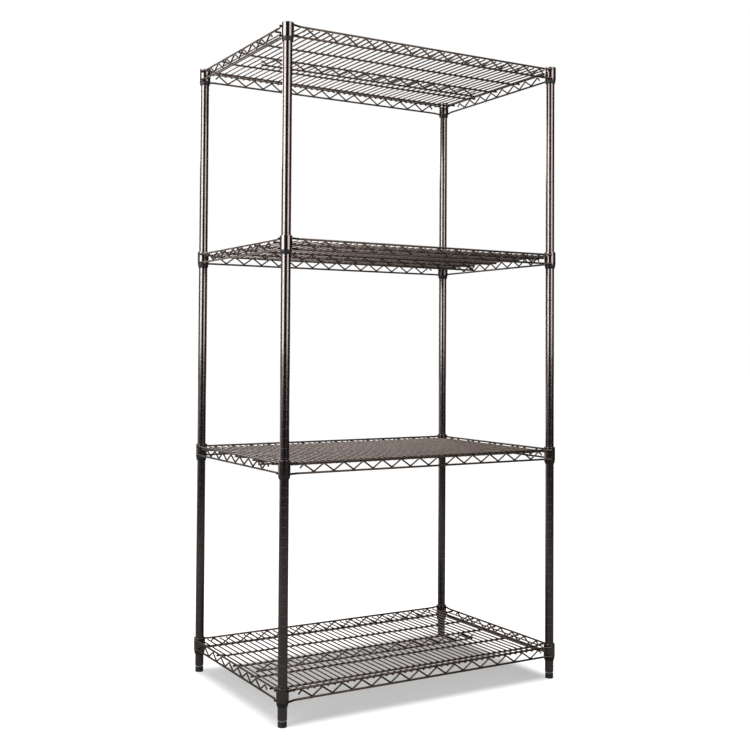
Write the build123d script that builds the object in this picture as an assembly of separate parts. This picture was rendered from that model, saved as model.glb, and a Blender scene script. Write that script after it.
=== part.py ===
from build123d import *
import math
import os

# Driving dimensions in mm. X runs along the long side, Y to the rear, Z up from the floor.
POST_X = 440.2              # post axis from the middle of the rack, along X
POST_Y = 287.8              # post axis from the middle of the rack, along Y
TOP_Z = 1829.0              # rim of the top collars, flush with the post caps
GROOVE_PITCH = 25.4         # the shelves can be set at any groove
SHELF_GROOVES = {"top": 0, "upper": 22, "lower": 45, "bottom": 68}

POST_R = 12.7
POST_BORE_R = 11.5
POST_BOTTOM = 18.6
POST_TOP = TOP_Z - 2.2
GROOVE_DROP = 19.0          # first groove below the top rim, hidden in the top sleeves
GROOVE_COUNT = 70
GROOVE_DEPTH = 0.35

COLLAR_R = 16.75
COLLAR_HEIGHT = 38.0
COLLAR_BORE_TOP = 14.3      # the bore opens downwards, so a loaded shelf grips its sleeves
COLLAR_BORE_BOTTOM = 15.6
SLEEVE_GAP = 0.35           # sleeve to collar
SLEEVE_TAIL = 49.5          # lower end of a sleeve below the collar's rim
SLEEVE_ARC = 176.0          # each sleeve is two half shells with a slit between them

CHORD_R = 2.9               # top and bottom wires of the outer trusses
LACING_R = 2.3              # zigzag wire of a truss
STRINGER_R = 2.8            # long wires below the deck
DECK_R = 2.05               # close-set deck wires
WELD = 0.1                  # how far crossing wires sink into each other
COLLAR_WELD = 0.4
FLARE = 20.0                # angle of the chord ends as they spread onto a collar
BEND_R = 6.0                # bend of the lacing wires
KNEE_R = 14.0               # bend of the chords and stringers
HALF_PITCH = 30.0           # apex to foot of the lacing, along the truss
TAIL = 10.5                 # free end of a lacing wire, along the truss and down

FRONT_OUT = 9.0             # chord plane outside the post axes, front and rear
SIDE_OUT = 10.5             # the same at the two ends
FRONT_TOP_DROP = 8.0        # wire centres below the collar's rim
FRONT_BOTTOM_DROP = 35.0
SIDE_TOP_DROP = 8.5
SIDE_BOTTOM_DROP = 34.0
LACING_RISE = 4.4           # lacing bend from its chord, up or down
FRONT_APEXES = 14
SIDE_APEXES = 8
CENTRE_APEXES = 12

DECK_PITCH = 20.0
DECK_PAIRS = 21             # full-depth deck wires on each side of the middle
DECK_HALF = 296.4
EDGE_DECK_X = 430.0         # short outer deck wires that stop before the collars
EDGE_DECK_HALF = 268.0
STRINGER_Y = (-241.0, -120.0, 0.0, 120.0, 241.0)
STRINGER_KNEE_X = 428.0
STRINGER_RAMP = 12.0
STRINGER_HALF = 454.5
CENTRE_X = -9.0             # the lower chord and lacing of the centre truss sit off centre
CENTRE_CHORD_HALF = 374.0

DECK_DROP = FRONT_TOP_DROP + CHORD_R + DECK_R - WELD
STRINGER_DROP = DECK_DROP + DECK_R + STRINGER_R - WELD
STRINGER_END_DROP = SIDE_TOP_DROP + CHORD_R + STRINGER_R - WELD
CENTRE_CHORD_DROP = SIDE_BOTTOM_DROP + CHORD_R + STRINGER_R - WELD

STEM_R = 4.95
INSERT_BORE_R = 5.0
INSERT_TOP = 40.0
STEM_TOP = 44.0
HEX_FLATS = 19.0
HEX_BOTTOM = 15.3
HEX_TOP = 18.1
JOURNAL_R = 4.0
PAD_BORE_R = 4.06
PAD_TOP = 15.0
PAD_FLOOR = 6.0

CORNERS = {
    "front_left": (-POST_X, -POST_Y),
    "front_right": (POST_X, -POST_Y),
    "rear_left": (-POST_X, POST_Y),
    "rear_right": (POST_X, POST_Y),
}


def turned(points, arc=360.0):
    """Solid of revolution about Z from (radius, height) points."""
    outline = Polyline(*[(r, 0, z) for r, z in points], close=True)
    return revolve(make_face(outline), Axis.Z, revolution_arc=arc)


def bent_wire(points, radius, bend):
    """Round wire along a polyline with rounded corners."""
    path = FilletPolyline(*points, radius=bend)
    section = Plane(origin=path @ 0, z_dir=path % 0) * Circle(radius)
    return sweep(section, path=path)


def straight_wire(start, end, radius):
    """Round wire between two points."""
    path = Line(start, end)
    section = Plane(origin=path @ 0, z_dir=path % 0) * Circle(radius)
    return extrude(section, amount=path.length)


def post():
    """Tube with a ring groove every GROOVE_PITCH."""
    outline = [(POST_BORE_R, POST_BOTTOM), (POST_R, POST_BOTTOM)]
    for step in reversed(range(GROOVE_COUNT)):
        z = TOP_Z - GROOVE_DROP - step * GROOVE_PITCH
        outline.append((POST_R, z - 0.9))
        outline.append((POST_R - GROOVE_DEPTH, z - 0.5))
        outline.append((POST_R - GROOVE_DEPTH, z + 0.5))
        outline.append((POST_R, z + 0.9))
    outline += [(POST_R, POST_TOP), (POST_BORE_R, POST_TOP)]
    return turned(outline)


def post_cap():
    """Plastic plug with a low crowned head."""
    head = [(0, TOP_Z), (9.0, TOP_Z - 0.1), (12.0, TOP_Z - 0.8), (12.5, TOP_Z - 1.6)]
    neck = [(12.5, POST_TOP), (11.45, POST_TOP)]
    spigot = [(11.45, TOP_Z - 14.0), (10.9, TOP_Z - 15.0), (9.6, TOP_Z - 15.0)]
    return turned(head + neck + spigot + [(9.6, TOP_Z - 4.0), (0, TOP_Z - 4.0)])


def post_insert():
    """Plug pressed into the foot of a post, bored for the levelling bolt."""
    return turned([
        (INSERT_BORE_R, POST_BOTTOM), (POST_BORE_R, POST_BOTTOM),
        (POST_BORE_R, INSERT_TOP - 1.0), (POST_BORE_R - 1.0, INSERT_TOP),
        (INSERT_BORE_R, INSERT_TOP)])


def leveller_bolt():
    """Stem in the post insert, hexagon for a spanner, journal in the pad."""
    stem = turned([(0, HEX_TOP), (STEM_R, HEX_TOP), (STEM_R, STEM_TOP - 1.0),
                   (STEM_R - 1.0, STEM_TOP), (0, STEM_TOP)])
    hexagon = RegularPolygon(HEX_FLATS / 2, 6, major_radius=False)
    nut = extrude(Plane.XY.offset(HEX_BOTTOM) * hexagon, amount=HEX_TOP - HEX_BOTTOM)
    journal = turned([(0, PAD_FLOOR + 0.6), (JOURNAL_R, PAD_FLOOR + 0.6),
                      (JOURNAL_R, HEX_BOTTOM), (0, HEX_BOTTOM)])
    return stem + nut + journal


def foot_pad():
    """Moulded pad with a blind socket for the bolt's journal."""
    return turned([
        (0, 0), (11.2, 0), (12.1, 2.6), (12.1, 13.8), (11.2, PAD_TOP),
        (PAD_BORE_R, PAD_TOP), (PAD_BORE_R, PAD_FLOOR), (0, PAD_FLOOR)])


def collar():
    """Shelf corner ring with a bore that opens downwards. Its rim is at z = 0."""
    return turned([
        (COLLAR_BORE_TOP, 0), (COLLAR_R - 0.6, 0), (COLLAR_R, -0.6),
        (COLLAR_R, 0.5 - COLLAR_HEIGHT), (COLLAR_R - 0.5, -COLLAR_HEIGHT),
        (COLLAR_BORE_BOTTOM, -COLLAR_HEIGHT)])


def sleeve_half():
    """Half of a tapered sleeve with a bead that sits in a groove of the post."""
    upper_r = COLLAR_BORE_TOP - SLEEVE_GAP
    lower_r = COLLAR_BORE_BOTTOM - SLEEVE_GAP
    taper = [(POST_R, -1.0), (upper_r, -1.0), (lower_r, -COLLAR_HEIGHT)]
    shoulder = [(lower_r, -COLLAR_HEIGHT - 0.4), (15.9, -COLLAR_HEIGHT - 0.4)]
    tail = [(15.9, -40.5), (15.4, -43.5), (13.8, -SLEEVE_TAIL), (POST_R, -SLEEVE_TAIL)]
    bead = [(POST_R, -GROOVE_DROP - 0.6), (12.45, -GROOVE_DROP - 0.3),
            (12.45, 0.3 - GROOVE_DROP), (POST_R, 0.6 - GROOVE_DROP)]
    return turned(taper + shoulder + tail + bead, SLEEVE_ARC)


def sleeves():
    """Two half shells round each post, one pair below every collar."""
    shell = sleeve_half()
    slit = (180.0 - SLEEVE_ARC) / 2
    halves = []
    for x, y in CORNERS.values():
        for turn in (slit, 180.0 + slit):
            halves.append(Pos(x, y, 0) * Rot(0, 0, turn) * shell)
    return halves


def lacing_points(apexes, apex_drop, foot_drop, y):
    """Corner points of a zigzag wire whose bends just reach the two drops."""
    bite = 0.0
    for _ in range(8):
        slope = math.atan((foot_drop - apex_drop + 2 * bite) / HALF_PITCH)
        bite = BEND_R * (1 / math.cos(slope) - 1)
    top = bite - apex_drop
    bottom = -bite - foot_drop
    first = -(apexes - 1) * HALF_PITCH
    points = []
    for step in range(2 * apexes - 1):
        z = top if step % 2 == 0 else bottom
        points.append((first + step * HALF_PITCH, y, z))
    return points


def with_tails(points):
    """Add the short free ends beyond the first and last bends."""
    x, y, z = points[0]
    return [(x - TAIL, y, z - TAIL)] + points + [(-x + TAIL, y, z - TAIL)]


def chord_points(half_run, post_out, plane_out, drop):
    """A chord runs straight and spreads at both ends onto the collars."""
    reach = COLLAR_R + CHORD_R - COLLAR_WELD
    flare = math.radians(FLARE)
    end_x = half_run - reach * math.sin(flare)
    end_y = post_out + reach * math.cos(flare)
    knee_x = end_x - (reach * math.cos(flare) - plane_out) / math.tan(flare)
    knee_y = post_out + plane_out
    return [(-end_x, -end_y, -drop), (-knee_x, -knee_y, -drop),
            (knee_x, -knee_y, -drop), (end_x, -end_y, -drop)]


def truss(half_run, post_out, plane_out, drops, apexes):
    """Outer truss along X facing -Y: top chord, bottom chord and lacing."""
    top_drop, bottom_drop = drops
    touch = CHORD_R + LACING_R - WELD
    sideways = math.sqrt(touch ** 2 - LACING_RISE ** 2)
    lacing_y = -(post_out + plane_out + sideways)
    zigzag = lacing_points(apexes, top_drop + LACING_RISE, bottom_drop - LACING_RISE, lacing_y)
    return [
        bent_wire(chord_points(half_run, post_out, plane_out, top_drop), CHORD_R, KNEE_R),
        bent_wire(chord_points(half_run, post_out, plane_out, bottom_drop), CHORD_R, KNEE_R),
        bent_wire(with_tails(zigzag), LACING_R, BEND_R),
    ]


def stringer(y):
    """Long wire below the deck, cranked up at both ends to the side chords."""
    outer = STRINGER_KNEE_X + STRINGER_RAMP
    points = [
        (-STRINGER_HALF, y, -STRINGER_END_DROP), (-outer, y, -STRINGER_END_DROP),
        (-STRINGER_KNEE_X, y, -STRINGER_DROP), (STRINGER_KNEE_X, y, -STRINGER_DROP),
        (outer, y, -STRINGER_END_DROP), (STRINGER_HALF, y, -STRINGER_END_DROP)]
    return bent_wire(points, STRINGER_R, KNEE_R)


def stringers():
    """All stringers, and the lower chord of the centre truss."""
    lower = straight_wire((CENTRE_X - CENTRE_CHORD_HALF, 0, -CENTRE_CHORD_DROP),
                          (CENTRE_X + CENTRE_CHORD_HALF, 0, -CENTRE_CHORD_DROP), STRINGER_R)
    return [stringer(y) for y in STRINGER_Y] + [lower]


def centre_lacing():
    """Zigzag wire between the middle stringer and its lower chord."""
    touch = STRINGER_R + LACING_R - WELD
    sideways = math.sqrt(touch ** 2 - LACING_RISE ** 2)
    apex_drop = STRINGER_DROP + LACING_RISE
    foot_drop = CENTRE_CHORD_DROP - LACING_RISE
    points = lacing_points(CENTRE_APEXES, apex_drop, foot_drop, -sideways)
    x, y, top = points[0]
    bottom = points[1][2]
    rise = (top - bottom) * 0.5
    left = [(x - 1.5 * HALF_PITCH, y, bottom + rise), (x - HALF_PITCH, y, bottom)]
    right = [(HALF_PITCH - x, y, bottom), (1.5 * HALF_PITCH - x, y, bottom + rise)]
    return [Pos(CENTRE_X, 0, 0) * bent_wire(left + points + right, LACING_R, BEND_R)]


def deck():
    """Close-set wires from front to rear, welded below the front and rear top chords."""
    wires = []
    for side in (-1, 1):
        for step in range(DECK_PAIRS):
            x = side * (step + 0.5) * DECK_PITCH
            wires.append(straight_wire((x, -DECK_HALF, -DECK_DROP), (x, DECK_HALF, -DECK_DROP),
                                       DECK_R))
        x = side * EDGE_DECK_X
        wires.append(straight_wire((x, -EDGE_DECK_HALF, -DECK_DROP),
                                   (x, EDGE_DECK_HALF, -DECK_DROP), DECK_R))
    return wires


def shelf_nodes():
    """One shelf with the rims of its collars at z = 0, as named groups of solids."""
    front = truss(POST_X, POST_Y, FRONT_OUT, (FRONT_TOP_DROP, FRONT_BOTTOM_DROP), FRONT_APEXES)
    side = truss(POST_Y, POST_X, SIDE_OUT, (SIDE_TOP_DROP, SIDE_BOTTOM_DROP), SIDE_APEXES)
    ring = collar()
    return {
        "collars": [Pos(x, y, 0) * ring for x, y in CORNERS.values()],
        "front_truss": front,
        "rear_truss": [Rot(0, 0, 180) * wire for wire in front],
        "right_truss": [Rot(0, 0, 90) * wire for wire in side],
        "left_truss": [Rot(0, 0, -90) * wire for wire in side],
        "stringers": stringers(),
        "centre_lacing": centre_lacing(),
        "deck": deck(),
    }


def corner_nodes():
    """The pieces that repeat at the four corners, on the axis x = y = 0."""
    return {
        "post": post(),
        "cap": post_cap(),
        "insert": post_insert(),
        "leveller_bolt": leveller_bolt(),
        "foot_pad": foot_pad(),
    }


def write_node(name, solids):
    """Write one node as parts/name.step."""
    group = Compound(label=name, children=list(solids))
    export_step(group, os.path.join("parts", name + ".step"))


def main():
    os.makedirs("parts", exist_ok=True)
    for kind, solid in corner_nodes().items():
        for corner, (x, y) in CORNERS.items():
            write_node(kind + "_" + corner, [Pos(x, y, 0) * solid])
    shelf = shelf_nodes()
    shelf["sleeves"] = sleeves()
    for level, grooves in SHELF_GROOVES.items():
        z = TOP_Z - grooves * GROOVE_PITCH
        for kind, solids in shelf.items():
            write_node(kind + "_" + level, [Pos(0, 0, z) * solid for solid in solids])


main()
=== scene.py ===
import math

import bmesh
import bpy
from mathutils import Matrix, Vector


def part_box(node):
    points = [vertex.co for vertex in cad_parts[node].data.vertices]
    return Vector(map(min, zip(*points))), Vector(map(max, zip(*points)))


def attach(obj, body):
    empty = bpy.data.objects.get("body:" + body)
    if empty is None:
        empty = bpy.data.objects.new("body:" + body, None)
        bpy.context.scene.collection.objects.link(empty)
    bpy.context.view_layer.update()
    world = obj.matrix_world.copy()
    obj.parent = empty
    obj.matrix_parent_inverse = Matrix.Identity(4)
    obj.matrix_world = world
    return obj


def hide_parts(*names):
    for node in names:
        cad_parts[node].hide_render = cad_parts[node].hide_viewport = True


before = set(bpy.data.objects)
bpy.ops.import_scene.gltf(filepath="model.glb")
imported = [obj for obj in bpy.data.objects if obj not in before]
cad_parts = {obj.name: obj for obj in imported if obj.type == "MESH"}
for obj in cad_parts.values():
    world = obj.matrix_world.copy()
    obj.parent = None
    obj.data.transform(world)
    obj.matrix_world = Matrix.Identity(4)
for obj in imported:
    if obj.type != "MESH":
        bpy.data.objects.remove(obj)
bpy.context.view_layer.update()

# Sizes in mm unless a name says otherwise. The frame is in metres.
MM = 0.001
CORNERS = ("front_left", "front_right", "rear_left", "rear_right")
LEVELS = ("top", "upper", "lower", "bottom")

POST_SIDES = 64
RING_SIDES = 56
HEX_SIDES = 72
THREAD_SIDES = 40
WIRE_SIDES = 14
BEAD_SIDES = 8
BEND_STEPS = 5
CREASE = 40.0                # degrees between faces that still shade as one

POST_WALL = 1.2
GROOVE_PITCH = 25.4
GROOVE_DROP = 19.0
GROOVE_COUNT = 70
GROOVE_DEPTH = 0.32
GROOVE_MOUTH = 0.7           # half width of a groove at the wall of the post
GROOVE_LIP = 0.62            # half width at the foot of its rounded lip
GROOVE_LIP_DEPTH = 0.02
GROOVE_FLOOR = 0.3           # half width of its floor

CAP_HEAD = 4.0               # thickness of the cap over its hollow spigot
CAP_SPIGOT = 15.0
CAP_HOLLOW_R = 9.6

COLLAR_BORE_TOP = 14.3
COLLAR_BORE_BOTTOM = 15.6
SLEEVE_GAP = 0.35
SLEEVE_SLIT = 2.0            # degrees left open at each side of a sleeve half

CHORD_R = 2.9
LACING_R = 2.3
STRINGER_R = 2.8
WELD = 0.1                   # how far crossing wires sink into each other
COLLAR_WELD = 0.4
FLARE = 20.0                 # degrees, of the chord ends as they spread onto a collar
BEND_R = 6.0
KNEE_R = 14.0                # bend of the chords and stringers
HALF_PITCH = 30.0            # apex to foot of the lacing, along the truss
TAIL = 10.5                  # free end of a lacing wire
FRONT_OUT = 9.0              # chord plane outside the post axes, front and rear
SIDE_OUT = 10.5
FRONT_DROPS = (8.0, 35.0)    # top and bottom chord below the collar's rim
SIDE_DROPS = (8.5, 34.0)
LACING_RISE = 4.4            # lacing bend from its chord, up or down
FRONT_APEXES = 14
SIDE_APEXES = 8
CENTRE_APEXES = 12

DECK_PITCH = 20.0
DECK_PAIRS = 21
EDGE_DECK_X = 430.0          # short outer deck wires that stop before the collars
EDGE_DECK_HALF = 268.0
STRINGER_Y = (-241.0, -120.0, 0.0, 120.0, 241.0)
STRINGER_KNEE_X = 428.0
STRINGER_RAMP = 12.0
STRINGER_HALF = 454.5
CENTRE_X = -9.0              # the lower chord and lacing of the middle truss sit off centre
CENTRE_CHORD_HALF = 374.0

THREAD_PITCH = 1.5
THREAD_DEPTH = 0.75
THREAD_ROWS = 6              # rings of points for each turn of the thread
STEM_R = 4.95
JOURNAL_R = 4.0
INSERT_BORE_R = 5.0
SOCKET_R = 4.7
SOCKET_FLOOR = 6.0
HEX_FLATS = 19.0

BEAD_RUN = 8.0               # weld bead along the chord
BEAD_START = 1.0             # how far the bead starts behind the chord's end
BEAD_OUT = 1.6               # how far it drifts from the collar over its run
BEAD_OFF = 0.35              # its root from the collar's wall
BEAD_RISE = 1.9              # above and below the chord's axis
BEAD_STEPS = 8

SHADOW_REACH = 0.015         # metres, from the post axes to the middle of the painted shade's edge
SHADOW_BLUR = 0.045
SHADE = 0.72                 # share of the floor's white taken off below the rack as painted shade
SWEEP_GLOW = 1.4             # strength of the floor's glow behind the rack
SWEEP_Y = (1.2, 4.0)         # metres, where that glow begins and where it is full
FLOOR_REACH = 30.0           # metres

CAMERA_PLACE = (-1.7076, -2.8994, 0.9698)
CAMERA_TURN = (30.607, 1.455, 0.333)   # yaw, pitch and roll in degrees
CAMERA_LENS = 53.373
CAMERA_SHIFT = (-0.0029, -0.0693)

WHITE = (1.0, 1.0, 1.0)
WARM = (1.0, 0.90, 0.86)

# Each softbox: name, place, target, width and height in metres, watts, colour.
SOFTBOXES = (
    ("overhead", (0.0, -0.2, 4.6), (0.0, 0.0, 0.0), 4.5, 4.5, 170.0, WHITE),
    ("left_box", (-3.4, -0.55, 2.25), (0.0, -0.55, 2.15), 2.5, 2.6, 265.0, WHITE),
    ("right_box", (0.9, -3.4, 2.25), (0.0, 0.0, 2.15), 2.0, 2.6, 130.0, WHITE),
    ("rear_box", (0.1, 3.6, 2.9), (0.0, 0.0, 0.6), 3.4, 1.7, 85.0, WARM),
)


# ---------------------------------------------------------------- the frame's own places

def box_mm(node):
    """Lowest and highest corner of a CAD node, in mm."""
    low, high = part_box(node)
    return Vector(low) / MM, Vector(high) / MM


def corner_axis(corner):
    """Post axis on the floor, in mm."""
    low, high = box_mm("post_" + corner)
    return Vector(((low.x + high.x) / 2, (low.y + high.y) / 2, 0.0))


def level_height(level):
    """Height of a shelf's collar rims, in mm."""
    return box_mm("collars_" + level)[1].z


AXES = {corner: corner_axis(corner) for corner in CORNERS}
POST_X = AXES["front_right"].x
POST_Y = AXES["rear_right"].y
TOP_Z = level_height("top")
POST_LOW, POST_HIGH = box_mm("post_front_left")
POST_R = (POST_HIGH.x - POST_LOW.x) / 2
COLLAR_R = box_mm("collars_top")[1].x - POST_X
COLLAR_HEIGHT = TOP_Z - box_mm("collars_top")[0].z
SLEEVE_TAIL = TOP_Z - box_mm("sleeves_top")[0].z
DECK_LOW, DECK_HIGH = box_mm("deck_top")
DECK_R = (DECK_HIGH.z - DECK_LOW.z) / 2
DECK_DROP = TOP_Z - (DECK_HIGH.z + DECK_LOW.z) / 2
DECK_HALF = DECK_HIGH.y
STRINGER_DROP = DECK_DROP + DECK_R + STRINGER_R - WELD
STRINGER_END_DROP = SIDE_DROPS[0] + CHORD_R + STRINGER_R - WELD
CENTRE_CHORD_DROP = SIDE_DROPS[1] + CHORD_R + STRINGER_R - WELD


# ---------------------------------------------------------------- mesh building

class Shape:
    """Points in mm and faces, gathered before they become one mesh."""

    def __init__(self):
        self.points = []
        self.faces = []

    def add(self, points, faces):
        start = len(self.points)
        self.points += points
        self.faces += [[start + i for i in face] for face in faces]

    def moved(self, offset):
        """A copy moved by a vector."""
        copy = Shape()
        copy.points = [p + offset for p in self.points]
        copy.faces = self.faces
        return copy

    def turned(self, degrees):
        """A copy turned about Z."""
        spin = Matrix.Rotation(math.radians(degrees), 3, "Z")
        copy = Shape()
        copy.points = [spin @ p for p in self.points]
        copy.faces = self.faces
        return copy

    def join(self, other):
        self.add(other.points, other.faces)


def rounded(corners, bend):
    """A path through corner points with each inner corner rounded to a radius."""
    path = [corners[0]]
    for before, corner, after in zip(corners, corners[1:], corners[2:]):
        back = (before - corner).normalized()
        ahead = (after - corner).normalized()
        half = back.angle(ahead) / 2
        middle = (back + ahead).normalized()
        centre = corner + middle * (bend / math.sin(half))
        reach = bend / math.tan(half)
        start = (corner + back * reach - centre).normalized()
        end = (corner + ahead * reach - centre).normalized()
        for step in range(BEND_STEPS + 1):
            path.append(centre + start.slerp(end, step / BEND_STEPS) * bend)
    path.append(corners[-1])
    return path


def path_frames(path):
    """For each path point, two directions across it that turn as little as possible."""
    frames = []
    across = None
    for i, point in enumerate(path):
        along = path[min(i + 1, len(path) - 1)] - path[max(i - 1, 0)]
        along.normalize()
        if across is None:
            across = along.orthogonal().normalized()
        across = (across - along * across.dot(along)).normalized()
        frames.append((point, across, along.cross(across)))
    return frames


def stacked_rings(rings, sides):
    """Faces that join rings of points in a row, with a flat face over each end."""
    faces = []
    for ring in range(rings - 1):
        for k in range(sides):
            a = ring * sides + k
            b = ring * sides + (k + 1) % sides
            faces.append([a, b, b + sides, a + sides])
    faces.append(list(reversed(range(sides))))
    last = (rings - 1) * sides
    faces.append([last + k for k in range(sides)])
    return faces


def add_tube(shape, path, radii, sides=WIRE_SIDES):
    """A closed round tube along a path, with one radius for each path point."""
    points = []
    for (point, across, up), radius in zip(path_frames(path), radii):
        for k in range(sides):
            turn = 2 * math.pi * k / sides
            points.append(point + (across * math.cos(turn) + up * math.sin(turn)) * radius)
    shape.add(points, stacked_rings(len(path), sides))


def add_wire(shape, corners, radius, bend):
    """A cut length of wire with its sharp end edges taken off."""
    path = rounded(corners, bend)
    chamfer = radius * 0.16
    first = (path[1] - path[0]).normalized() * chamfer
    last = (path[-2] - path[-1]).normalized() * chamfer
    path = [path[0], path[0] + first] + path[1:-1] + [path[-1] + last, path[-1]]
    radii = [radius] * len(path)
    radii[0] = radii[-1] = radius - chamfer
    add_tube(shape, path, radii)


def add_lathe(shape, outline, centre, sides, start=0.0, arc=360.0):
    """A closed outline of (radius, height) points turned about a vertical axis."""
    whole = arc >= 360.0
    columns = sides if whole else sides + 1
    count = len(outline)
    points = []
    for column in range(columns):
        turn = math.radians(start + arc * column / sides)
        for radius, height in outline:
            offset = Vector((radius * math.cos(turn), radius * math.sin(turn), height))
            points.append(centre + offset)
    faces = []
    for column in range(sides):
        here = column * count
        there = ((column + 1) % columns) * count
        for i in range(count):
            j = (i + 1) % count
            if outline[i][0] < 1e-6 and outline[j][0] < 1e-6:
                continue
            faces.append([here + i, there + i, there + j, here + j])
    if not whole:
        faces.append(list(range(count)))
        faces.append([(columns - 1) * count + i for i in reversed(range(count))])
    shape.add(points, faces)


def arc_points(centre, radius, start, end, steps):
    """(radius, height) points of an arc in an outline, angles in degrees."""
    points = []
    for step in range(steps + 1):
        turn = math.radians(start + (end - start) * step / steps)
        points.append((centre[0] + radius * math.cos(turn), centre[1] + radius * math.sin(turn)))
    return points


def make_piece(name, shape, material, body, node, flat=False):
    """Turn a shape into a piece that rides on a body and stands for a CAD node.

    A flat piece has long even walls, and its larger faces set the shading at their edges.
    """
    mesh = bpy.data.meshes.new(name)
    mesh.from_pydata([p * MM for p in shape.points], [], shape.faces)
    mesh.validate()
    piece = bpy.data.objects.new(name, mesh)
    bpy.context.scene.collection.objects.link(piece)
    close_poles(mesh)
    mesh.polygons.foreach_set("use_smooth", [True] * len(mesh.polygons))
    mesh.set_sharp_from_angle(angle=math.radians(CREASE))
    mesh.materials.append(material)
    if flat:
        normals = piece.modifiers.new("normals", "WEIGHTED_NORMAL")
        normals.keep_sharp = True
    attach(piece, body)
    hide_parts(node)


def close_poles(mesh):
    """Merge the points that a lathe leaves doubled on its axis."""
    work = bmesh.new()
    work.from_mesh(mesh)
    bmesh.ops.remove_doubles(work, verts=work.verts, dist=1e-6)
    bmesh.ops.recalc_face_normals(work, faces=work.faces)
    work.to_mesh(mesh)
    work.free()


# ---------------------------------------------------------------- materials

def new_material(name):
    """An empty node material with its shader and object coordinates."""
    material = bpy.data.materials.new(name)
    material.use_nodes = True
    nodes = material.node_tree.nodes
    shader = nodes["Principled BSDF"]
    place = nodes.new("ShaderNodeTexCoord")
    return material, shader, place.outputs["Object"]


def add_noise(material, place, scale, detail, stretch=(1.0, 1.0, 1.0)):
    """Noise over object coordinates, in cycles per metre."""
    nodes = material.node_tree.nodes
    links = material.node_tree.links
    mapping = nodes.new("ShaderNodeMapping")
    mapping.inputs["Scale"].default_value = stretch
    noise = nodes.new("ShaderNodeTexNoise")
    noise.inputs["Scale"].default_value = scale
    noise.inputs["Detail"].default_value = detail
    links.new(place, mapping.inputs["Vector"])
    links.new(mapping.outputs["Vector"], noise.inputs["Vector"])
    return noise.outputs["Fac"]


def add_colours(material, factor, low, high):
    """Blend between two colours by a factor."""
    ramp = material.node_tree.nodes.new("ShaderNodeValToRGB")
    first, last = ramp.color_ramp.elements
    first.position, last.position = 0.35, 0.65
    first.color = (*low, 1.0)
    last.color = (*high, 1.0)
    material.node_tree.links.new(factor, ramp.inputs["Fac"])
    return ramp.outputs["Color"]


def add_range(material, factor, low, high):
    """Map noise to a range of values."""
    node = material.node_tree.nodes.new("ShaderNodeMapRange")
    node.inputs["From Min"].default_value = 0.3
    node.inputs["From Max"].default_value = 0.7
    node.inputs["To Min"].default_value = low
    node.inputs["To Max"].default_value = high
    material.node_tree.links.new(factor, node.inputs["Value"])
    return node.outputs["Result"]


def add_bump(material, shader, height, strength, distance_mm):
    """Fine relief from a height factor."""
    bump = material.node_tree.nodes.new("ShaderNodeBump")
    bump.inputs["Strength"].default_value = strength
    bump.inputs["Distance"].default_value = distance_mm * MM
    material.node_tree.links.new(height, bump.inputs["Height"])
    material.node_tree.links.new(bump.outputs["Normal"], shader.inputs["Normal"])


def epoxy(name, dark, light, smooth, rough, coat):
    """Thick anthracite coat with a metallic sheen and uneven flow."""
    material, shader, place = new_material(name)
    links = material.node_tree.links
    flow = add_noise(material, place, 28.0, 4.0, (1.0, 1.0, 0.45))
    links.new(add_colours(material, flow, dark, light), shader.inputs["Base Color"])
    haze = add_noise(material, place, 140.0, 3.0)
    links.new(add_range(material, haze, smooth, rough), shader.inputs["Roughness"])
    shader.inputs["Metallic"].default_value = 1.0
    shader.inputs["Coat Weight"].default_value = coat
    shader.inputs["Coat Roughness"].default_value = 0.07
    return material


def moulded_plastic(name, dark, light, smooth, rough, grain):
    """Dull black moulded plastic with a fine spark-eroded grain."""
    material, shader, place = new_material(name)
    links = material.node_tree.links
    cloud = add_noise(material, place, 90.0, 3.0)
    links.new(add_colours(material, cloud, dark, light), shader.inputs["Base Color"])
    scuff = add_noise(material, place, 320.0, 2.0)
    links.new(add_range(material, scuff, smooth, rough), shader.inputs["Roughness"])
    texture = add_noise(material, place, 2400.0, 2.0)
    add_bump(material, shader, texture, grain, 0.05)
    shader.inputs["Specular IOR Level"].default_value = 0.25
    return material


def zinc_steel(name):
    """Bright zinc plate with turning marks and slightly cloudy passivation."""
    material, shader, place = new_material(name)
    links = material.node_tree.links
    cloud = add_noise(material, place, 160.0, 3.0)
    colours = add_colours(material, cloud, (0.34, 0.34, 0.33), (0.52, 0.51, 0.49))
    links.new(colours, shader.inputs["Base Color"])
    marks = add_noise(material, place, 260.0, 2.0, (1.0, 1.0, 14.0))
    links.new(add_range(material, marks, 0.22, 0.42), shader.inputs["Roughness"])
    add_bump(material, shader, marks, 0.2, 0.03)
    shader.inputs["Metallic"].default_value = 1.0
    return material


POST_EPOXY = epoxy("post_epoxy", (0.066, 0.054, 0.051), (0.078, 0.065, 0.061), 0.18, 0.22, 0.4)
SHELF_EPOXY = epoxy("shelf_epoxy", (0.036, 0.024, 0.018), (0.048, 0.033, 0.025), 0.26, 0.38, 0.1)
PLASTIC = moulded_plastic("black_plastic", (0.0034, 0.0030, 0.0030), (0.0066, 0.0059, 0.0058),
                          0.42, 0.56, 0.10)
FOOT_PLASTIC = moulded_plastic("foot_plastic", (0.0070, 0.0066, 0.0065), (0.0140, 0.0130, 0.0130),
                               0.50, 0.68, 0.2)
ZINC = zinc_steel("zinc_steel")


# ---------------------------------------------------------------- corner pieces

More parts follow.
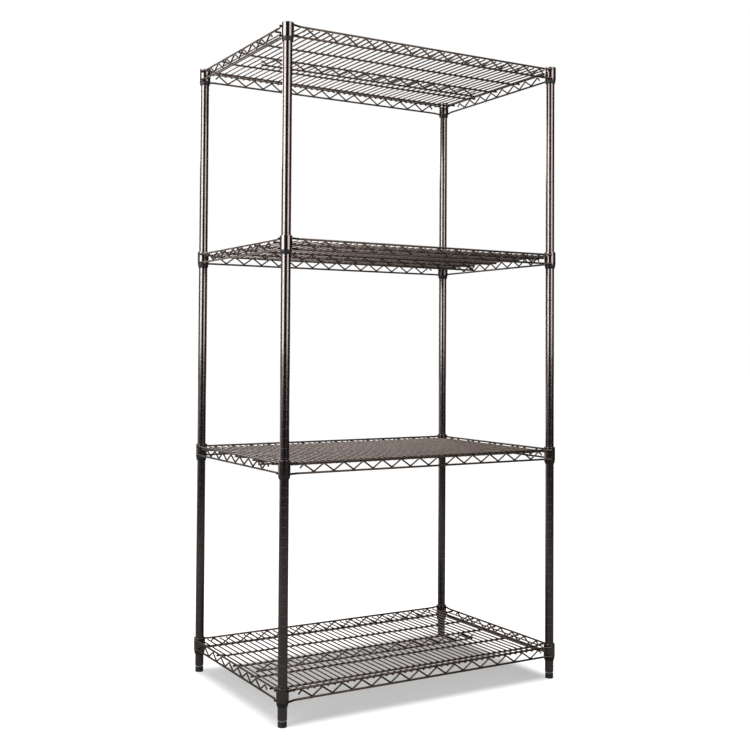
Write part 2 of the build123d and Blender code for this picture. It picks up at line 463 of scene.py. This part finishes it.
def post_outline():
    """Tube wall with ring grooves, from the bottom inside round to the top."""
    bore = POST_R - POST_WALL
    low = POST_LOW.z
    high = POST_HIGH.z
    floor_r = POST_R - GROOVE_DEPTH
    lip_r = POST_R - GROOVE_LIP_DEPTH
    outline = [(bore, low), (POST_R - 0.3, low), (POST_R, low + 0.4)]
    for step in reversed(range(GROOVE_COUNT)):
        z = TOP_Z - GROOVE_DROP - step * GROOVE_PITCH
        outline += [(POST_R, z - GROOVE_MOUTH), (lip_r, z - GROOVE_LIP),
                    (floor_r, z - GROOVE_FLOOR), (floor_r, z + GROOVE_FLOOR),
                    (lip_r, z + GROOVE_LIP), (POST_R, z + GROOVE_MOUTH)]
    outline += [(POST_R, high - 0.4), (POST_R - 0.3, high), (bore, high)]
    return outline


def cap_outline():
    """Domed plug with a thin rim over the end of the tube."""
    rim = POST_R - 0.15
    plug = POST_R - 1.25
    end = TOP_Z - CAP_SPIGOT
    dome = [(0.0, TOP_Z), (5.0, TOP_Z - 0.03), (9.0, TOP_Z - 0.18)]
    edge = arc_points((rim - 0.9, TOP_Z - 1.1), 0.9, 70.0, 0.0, 4)
    under = [(rim, POST_HIGH.z), (plug, POST_HIGH.z)]
    spigot = [(plug, end + 1.0), (POST_R - 1.8, end), (CAP_HOLLOW_R, end)]
    return dome + edge + under + spigot + [(CAP_HOLLOW_R, TOP_Z - CAP_HEAD), (0.0, TOP_Z - CAP_HEAD)]


def insert_outline():
    """Plug in the foot of the post with a flared mouth for the bolt."""
    low, high = box_mm("insert_front_left")
    outer = POST_R - POST_WALL
    return [(INSERT_BORE_R + 0.4, low.z), (outer, low.z), (outer, high.z - 1.0),
            (outer - 1.0, high.z), (INSERT_BORE_R, high.z), (INSERT_BORE_R, low.z + 0.5)]


def pad_outline():
    """Foot pad with rounded edges and a shallow waist."""
    low, high = box_mm("foot_pad_front_left")
    radius = (high.x - low.x) / 2
    top = high.z
    foot = [(0.0, 0.0), (radius - 1.3, 0.0)] + arc_points((radius - 1.2, 1.2), 1.2, -80, 0, 4)
    waist = [(radius - 0.25, top * 0.45), (radius - 0.25, top * 0.6)]
    shoulder = arc_points((radius - 1.6, top - 1.6), 1.6, 0, 80, 5)
    socket = [(SOCKET_R + 0.5, top), (SOCKET_R, top - 0.6), (SOCKET_R, SOCKET_FLOOR),
              (0.0, SOCKET_FLOOR)]
    return foot + waist + shoulder + socket


def hexagon_radius(angle):
    """Distance from the axis to the hexagon's side at an angle."""
    sector = math.radians(60)
    return HEX_FLATS / 2 / math.cos((angle % sector) - sector / 2)


def add_profiled(shape, heights, radius_at, centre, sides):
    """A solid whose radius depends on the angle and the height, closed at both ends."""
    points = []
    for height in heights:
        for k in range(sides):
            turn = 2 * math.pi * k / sides
            radius = radius_at(turn, height)
            offset = Vector((radius * math.cos(turn), radius * math.sin(turn), height))
            points.append(centre + offset)
    shape.add(points, stacked_rings(len(heights), sides))


def add_hexagon(shape, low, high, centre):
    """Hexagon for a spanner with chamfered corners top and bottom."""
    chamfer = HEX_FLATS / 2 + 0.45

    def radius_at(turn, height):
        edge = min(height - low, high - height)
        return min(hexagon_radius(turn), chamfer + edge * 2.2)

    heights = [low, low + 0.25, low + 0.5, high - 0.5, high - 0.25, high]
    add_profiled(shape, heights, radius_at, centre, HEX_SIDES)


def add_thread(shape, low, high, centre):
    """Screwed stem with a helical thread that fades out at its ends."""
    steps = int((high - low) / THREAD_PITCH * THREAD_ROWS)

    def radius_at(turn, height):
        phase = (height / THREAD_PITCH - turn / (2 * math.pi)) % 1.0
        flank = abs(2 * phase - 1)
        fade = min(1.0, (height - low) / 1.0, (high - height) / 1.0)
        return STEM_R - THREAD_DEPTH * max(flank * fade, 1 - fade)

    heights = [low + (high - low) * i / steps for i in range(steps + 1)]
    add_profiled(shape, heights, radius_at, centre, THREAD_SIDES)


def leveller_shape(centre):
    """Threaded stem, hexagon and the journal that turns in the pad."""
    low, high = box_mm("leveller_bolt_front_left")
    hex_low = box_mm("foot_pad_front_left")[1].z + 0.3
    hex_high = POST_LOW.z - 0.5
    shape = Shape()
    add_thread(shape, hex_high - 0.2, high.z, centre)
    add_hexagon(shape, hex_low, hex_high, centre)
    journal_top = hex_low + 0.1
    journal = [(0.0, low.z), (JOURNAL_R, low.z), (JOURNAL_R, journal_top), (0.0, journal_top)]
    add_lathe(shape, journal, centre, THREAD_SIDES)
    return shape


def build_corner(corner):
    """All the pieces that stand at one corner."""
    centre = AXES[corner]
    outlines = (
        ("post", post_outline(), POST_EPOXY, "epoxy_post", "posts", POST_SIDES),
        ("cap", cap_outline(), PLASTIC, "black_plastic", "posts", POST_SIDES),
        ("insert", insert_outline(), PLASTIC, "black_plastic", "posts", RING_SIDES),
        ("foot_pad", pad_outline(), FOOT_PLASTIC, "foot_plastic", "pad_" + corner, RING_SIDES),
    )
    for kind, outline, material, slot, body, sides in outlines:
        shape = Shape()
        add_lathe(shape, outline, centre, sides)
        make_piece("look_" + kind + "_" + corner, shape, material, body,
                   kind + "_" + corner, flat=True)
    make_piece("look_leveller_bolt_" + corner, leveller_shape(centre), ZINC,
               "bolt_" + corner, "leveller_bolt_" + corner)


# ---------------------------------------------------------------- one shelf, rims at height 0

def collar_outline():
    """Corner ring with rounded rims and a bore that opens downwards."""
    top = arc_points((COLLAR_R - 0.9, -0.9), 0.9, 90, 0, 5)
    bottom = arc_points((COLLAR_R - 0.6, 0.6 - COLLAR_HEIGHT), 0.6, 0, -90, 4)
    bore = [(COLLAR_BORE_BOTTOM, -COLLAR_HEIGHT), (COLLAR_BORE_TOP, -0.5)]
    return top + bottom + bore + [(COLLAR_BORE_TOP + 0.4, 0.0)]


def sleeve_outline():
    """Tapered half shell with a rounded tail below the collar."""
    upper = COLLAR_BORE_TOP - SLEEVE_GAP
    lower = COLLAR_BORE_BOTTOM - SLEEVE_GAP
    inner = POST_R + 0.02
    taper = [(inner, -1.0), (upper - 0.3, -1.0), (upper, -1.4), (lower, -COLLAR_HEIGHT)]
    lip = COLLAR_HEIGHT + 0.4
    tail = [(15.6, -lip), (15.9, -lip - 0.3), (15.85, -40.6), (15.4, -43.5),
            (14.4, -47.6), (13.9, -SLEEVE_TAIL + 0.3), (13.6, -SLEEVE_TAIL), (inner, -SLEEVE_TAIL)]
    return taper + tail


def sleeves_shape():
    """Two half shells round each post."""
    shape = Shape()
    arc = 180.0 - 2 * SLEEVE_SLIT
    for centre in AXES.values():
        for start in (SLEEVE_SLIT, 180.0 + SLEEVE_SLIT):
            add_lathe(shape, sleeve_outline(), centre, RING_SIDES // 2, start, arc)
    return shape


def collars_shape():
    """The four corner rings."""
    shape = Shape()
    for centre in AXES.values():
        add_lathe(shape, collar_outline(), centre, RING_SIDES)
    return shape


def lacing_points(apexes, apex_drop, foot_drop, y):
    """Corner points of a zigzag wire whose bends just reach the two drops."""
    bite = 0.0
    for _ in range(8):
        slope = math.atan((foot_drop - apex_drop + 2 * bite) / HALF_PITCH)
        bite = BEND_R * (1 / math.cos(slope) - 1)
    first = -(apexes - 1) * HALF_PITCH
    points = []
    for step in range(2 * apexes - 1):
        z = bite - apex_drop if step % 2 == 0 else -bite - foot_drop
        points.append(Vector((first + step * HALF_PITCH, y, z)))
    return points


def chord_points(half_run, post_out, plane_out, drop):
    """A chord runs straight and spreads at both ends onto the collars."""
    reach = COLLAR_R + CHORD_R - COLLAR_WELD
    flare = math.radians(FLARE)
    end_x = half_run - reach * math.sin(flare)
    end_y = post_out + reach * math.cos(flare)
    knee_x = end_x - (reach * math.cos(flare) - plane_out) / math.tan(flare)
    knee_y = post_out + plane_out
    return [Vector((-end_x, -end_y, -drop)), Vector((-knee_x, -knee_y, -drop)),
            Vector((knee_x, -knee_y, -drop)), Vector((end_x, -end_y, -drop))]


def truss_shape(half_run, post_out, plane_out, drops, apexes):
    """Outer truss along X facing -Y: two chords, lacing and the welds on the collars."""
    shape = Shape()
    for drop in drops:
        points = chord_points(half_run, post_out, plane_out, drop)
        add_wire(shape, points, CHORD_R, KNEE_R)
        for end in (points[0], points[-1]):
            side = 1 if end.x > 0 else -1
            add_weld(shape, end, Vector((side * half_run, -post_out, 0.0)))
    touch = CHORD_R + LACING_R - WELD
    y = -(post_out + plane_out + math.sqrt(touch ** 2 - LACING_RISE ** 2))
    zigzag = lacing_points(apexes, drops[0] + LACING_RISE, drops[1] - LACING_RISE, y)
    drop_end = Vector((TAIL, 0.0, TAIL))
    rise_end = Vector((TAIL, 0.0, -TAIL))
    corners = [zigzag[0] - drop_end] + zigzag + [zigzag[-1] + rise_end]
    add_wire(shape, corners, LACING_R, BEND_R)
    return shape


def add_weld(shape, end, post):
    """Lumpy weld beads in the crevices above and below a chord end on its collar."""
    axis = Vector((post.x, post.y, end.z))
    outward = (end - axis).normalized()
    along = Vector((-outward.y, outward.x, 0.0))
    if along.x * post.x > 0:
        along = -along
    for side in (1, -1):
        root = axis + outward * (COLLAR_R + BEAD_OFF) + Vector((0.0, 0.0, side * BEAD_RISE))
        path = []
        radii = []
        for i in range(BEAD_STEPS + 1):
            share = i / BEAD_STEPS
            reach = along * (share * BEAD_RUN - BEAD_START)
            path.append(root + reach + outward * (share * share * BEAD_OUT))
            radii.append(0.35 + 0.95 * math.sin(math.pi * share) + 0.12 * (i % 2))
        add_tube(shape, path, radii, BEAD_SIDES)


def stringers_shape():
    """Long wires below the deck, cranked up at both ends, and the lower middle chord."""
    shape = Shape()
    outer = STRINGER_KNEE_X + STRINGER_RAMP
    run = ((STRINGER_HALF, STRINGER_END_DROP), (outer, STRINGER_END_DROP),
           (STRINGER_KNEE_X, STRINGER_DROP))
    for y in STRINGER_Y:
        left = [Vector((-x, y, -drop)) for x, drop in run]
        right = [Vector((x, y, -drop)) for x, drop in reversed(run)]
        add_wire(shape, left + right, STRINGER_R, KNEE_R)
    ends = [Vector((CENTRE_X + side * CENTRE_CHORD_HALF, 0.0, -CENTRE_CHORD_DROP))
            for side in (-1, 1)]
    add_wire(shape, ends, STRINGER_R, KNEE_R)
    return shape


def centre_lacing_shape():
    """Zigzag between the middle stringer and its lower chord."""
    shape = Shape()
    touch = STRINGER_R + LACING_R - WELD
    y = -math.sqrt(touch ** 2 - LACING_RISE ** 2)
    points = lacing_points(CENTRE_APEXES, STRINGER_DROP + LACING_RISE,
                           CENTRE_CHORD_DROP - LACING_RISE, y)
    x = points[0].x
    top = points[0].z
    bottom = points[1].z
    middle = (top + bottom) / 2
    left = [Vector((x - 1.5 * HALF_PITCH, y, middle)), Vector((x - HALF_PITCH, y, bottom))]
    right = [Vector((HALF_PITCH - x, y, bottom)), Vector((1.5 * HALF_PITCH - x, y, middle))]
    add_wire(shape, left + points + right, LACING_R, BEND_R)
    return shape.moved(Vector((CENTRE_X, 0.0, 0.0)))


def deck_shape():
    """Close-set wires from front to rear."""
    shape = Shape()
    places = [((step + 0.5) * DECK_PITCH, DECK_HALF) for step in range(DECK_PAIRS)]
    places.append((EDGE_DECK_X, EDGE_DECK_HALF))
    for x, half in places:
        for side in (-1, 1):
            ends = [Vector((side * x, -half, -DECK_DROP)), Vector((side * x, half, -DECK_DROP))]
            add_wire(shape, ends, DECK_R, KNEE_R)
    return shape


def shelf_shapes():
    """Every welded group of one shelf."""
    front = truss_shape(POST_X, POST_Y, FRONT_OUT, FRONT_DROPS, FRONT_APEXES)
    side = truss_shape(POST_Y, POST_X, SIDE_OUT, SIDE_DROPS, SIDE_APEXES)
    return {
        "collars": collars_shape(),
        "front_truss": front,
        "rear_truss": front.turned(180.0),
        "right_truss": side.turned(90.0),
        "left_truss": side.turned(-90.0),
        "stringers": stringers_shape(),
        "centre_lacing": centre_lacing_shape(),
        "deck": deck_shape(),
    }


def build_shelves():
    """Copies of one shelf and its sleeves at each level."""
    shapes = shelf_shapes()
    sleeves = sleeves_shape()
    for level in LEVELS:
        rise = Vector((0.0, 0.0, level_height(level)))
        for kind, shape in shapes.items():
            name = kind + "_" + level
            is_ring = kind == "collars"
            make_piece("look_" + name, shape.moved(rise), POST_EPOXY if is_ring else SHELF_EPOXY,
                       "shelf_" + level, name, flat=is_ring)
        make_piece("look_sleeves_" + level, sleeves.moved(rise), PLASTIC,
                   "posts", "sleeves_" + level, flat=True)


# ---------------------------------------------------------------- camera, floor and light

def add_camera():
    """Camera at the viewing angle of the reference view."""
    yaw, pitch, roll = (math.radians(angle) for angle in CAMERA_TURN)
    level = math.cos(pitch)
    ahead = Vector((math.sin(yaw) * level, math.cos(yaw) * level, math.sin(pitch)))
    level_right = Vector((math.cos(yaw), -math.sin(yaw), 0.0))
    level_up = level_right.cross(ahead)
    right = level_right * math.cos(roll) + level_up * math.sin(roll)
    up = level_up * math.cos(roll) - level_right * math.sin(roll)
    data = bpy.data.cameras.new("camera")
    data.sensor_width = 36.0
    data.lens = CAMERA_LENS
    data.shift_x, data.shift_y = CAMERA_SHIFT
    data.clip_end = 60.0
    camera = bpy.data.objects.new("camera", data)
    bpy.context.scene.collection.objects.link(camera)
    turn = Matrix((right, up, -ahead)).transposed().to_4x4()
    camera.matrix_world = Matrix.Translation(CAMERA_PLACE) @ turn
    bpy.context.scene.camera = camera


def add_math(tree, operation, first, second=0.0):
    """One math node whose inputs are outputs of other nodes or numbers."""
    node = tree.nodes.new("ShaderNodeMath")
    node.operation = operation
    for socket, value in zip(node.inputs, (first, second)):
        if isinstance(value, (int, float)):
            socket.default_value = value
        else:
            tree.links.new(value, socket)
    return node.outputs[0]


def painted_shade_under_rack(tree, place):
    """Mask of the painted shade: 1 below the rack, falling softly to 0 outside the feet."""
    split = tree.nodes.new("ShaderNodeSeparateXYZ")
    tree.links.new(place, split.inputs[0])
    inside = []
    for axis, half in (("X", POST_X * MM), ("Y", POST_Y * MM)):
        distance = add_math(tree, "ABSOLUTE", split.outputs[axis])
        fall = tree.nodes.new("ShaderNodeMapRange")
        fall.interpolation_type = "SMOOTHSTEP"
        fall.inputs["From Min"].default_value = half + SHADOW_REACH - SHADOW_BLUR
        fall.inputs["From Max"].default_value = half + SHADOW_REACH + SHADOW_BLUR
        fall.inputs["To Min"].default_value = 1.0
        fall.inputs["To Max"].default_value = 0.0
        tree.links.new(distance, fall.inputs["Value"])
        inside.append(fall.outputs["Result"])
    return add_math(tree, "MULTIPLY", inside[0], inside[1])


def far_floor(tree, place):
    """Glow of the floor well behind the rack, as a lit paper sweep gives it."""
    split = tree.nodes.new("ShaderNodeSeparateXYZ")
    tree.links.new(place, split.inputs[0])
    rise = tree.nodes.new("ShaderNodeMapRange")
    rise.inputs["From Min"].default_value = SWEEP_Y[0]
    rise.inputs["From Max"].default_value = SWEEP_Y[1]
    rise.inputs["To Min"].default_value = 0.0
    rise.inputs["To Max"].default_value = SWEEP_GLOW
    tree.links.new(split.outputs["Y"], rise.inputs["Value"])
    return rise.outputs["Result"]


def add_floor():
    """White floor that meets the white surroundings, with a soft shade painted below the rack."""
    mesh = bpy.data.meshes.new("floor")
    corners = [(x * FLOOR_REACH, y * FLOOR_REACH, 0) for x, y in ((-1, -1), (1, -1), (1, 1), (-1, 1))]
    mesh.from_pydata(corners, [], [[0, 1, 2, 3]])
    floor = bpy.data.objects.new("floor", mesh)
    bpy.context.scene.collection.objects.link(floor)
    material, shader, place = new_material("floor_paint")
    tree = material.node_tree
    cloud = add_noise(material, place, 1.5, 2.0)
    colours = add_colours(material, cloud, (0.20, 0.20, 0.20), (0.21, 0.21, 0.21))
    tree.links.new(colours, shader.inputs["Base Color"])
    shader.inputs["Roughness"].default_value = 0.9
    shader.inputs["Specular IOR Level"].default_value = 0.0
    shader.inputs["Emission Color"].default_value = (*WHITE, 1.0)
    seen = tree.nodes.new("ShaderNodeLightPath").outputs["Is Camera Ray"]
    # Painted shade: below the rack the floor's own glow drops by SHADE in a soft rectangle between
    # the feet. It is not cast and stays put when a shelf moves; only the floor's lit diffuse on top
    # carries real shadow.
    shade = add_math(tree, "MULTIPLY", painted_shade_under_rack(tree, place), SHADE)
    lit = add_math(tree, "MULTIPLY", add_math(tree, "SUBTRACT", 1.0, shade), seen)
    unseen = add_math(tree, "SUBTRACT", 1.0, seen)
    sweep = add_math(tree, "MULTIPLY", far_floor(tree, place), unseen)
    tree.links.new(add_math(tree, "ADD", lit, sweep), shader.inputs["Emission Strength"])
    mesh.materials.append(material)


def add_softbox(name, place, target, width, height, power, colour):
    """Rectangular area light aimed at a point."""
    data = bpy.data.lights.new(name, "AREA")
    data.shape = "RECTANGLE"
    data.size = width
    data.size_y = height
    data.energy = power
    data.color = colour
    lamp = bpy.data.objects.new(name, data)
    bpy.context.scene.collection.objects.link(lamp)
    lamp.location = place
    aim = Vector(target) - Vector(place)
    lamp.rotation_euler = aim.to_track_quat("-Z", "Y").to_euler()


def add_surroundings():
    """White to the eye. In what it lights and in reflections, grey behind and dark in front."""
    world = bpy.data.worlds.new("studio")
    bpy.context.scene.world = world
    world.use_nodes = True
    nodes = world.node_tree.nodes
    links = world.node_tree.links
    background = nodes["Background"]
    path = nodes.new("ShaderNodeLightPath")
    blend = nodes.new("ShaderNodeMix")
    blend.data_type = "RGBA"
    colour_in = [socket for socket in blend.inputs if socket.type == "RGBA"]
    ahead = nodes.new("ShaderNodeSeparateXYZ")
    links.new(nodes.new("ShaderNodeTexCoord").outputs["Generated"], ahead.inputs[0])
    ramp = nodes.new("ShaderNodeValToRGB")
    first, last = ramp.color_ramp.elements
    first.position = 0.35
    first.color = (0.070, 0.066, 0.064, 1.0)
    last.position = 0.8
    last.color = (0.340, 0.320, 0.310, 1.0)
    half = nodes.new("ShaderNodeMapRange")
    half.inputs["From Min"].default_value = -1.0
    links.new(ahead.outputs["Y"], half.inputs["Value"])
    links.new(half.outputs["Result"], ramp.inputs["Fac"])
    links.new(ramp.outputs["Color"], colour_in[0])
    colour_in[1].default_value = (*WHITE, 1.0)
    links.new(path.outputs["Is Camera Ray"], blend.inputs["Factor"])
    colour_out = [socket for socket in blend.outputs if socket.type == "RGBA"]
    links.new(colour_out[0], background.inputs["Color"])
    background.inputs["Strength"].default_value = 1.0


def add_lights():
    """Soft light from overhead and behind, and two tall boxes from eye height up in front."""
    for box in SOFTBOXES:
        add_softbox(*box)


for corner in CORNERS:
    build_corner(corner)
build_shelves()
add_camera()
add_floor()
add_surroundings()
add_lights()
bpy.context.scene.view_settings.view_transform = "Standard"
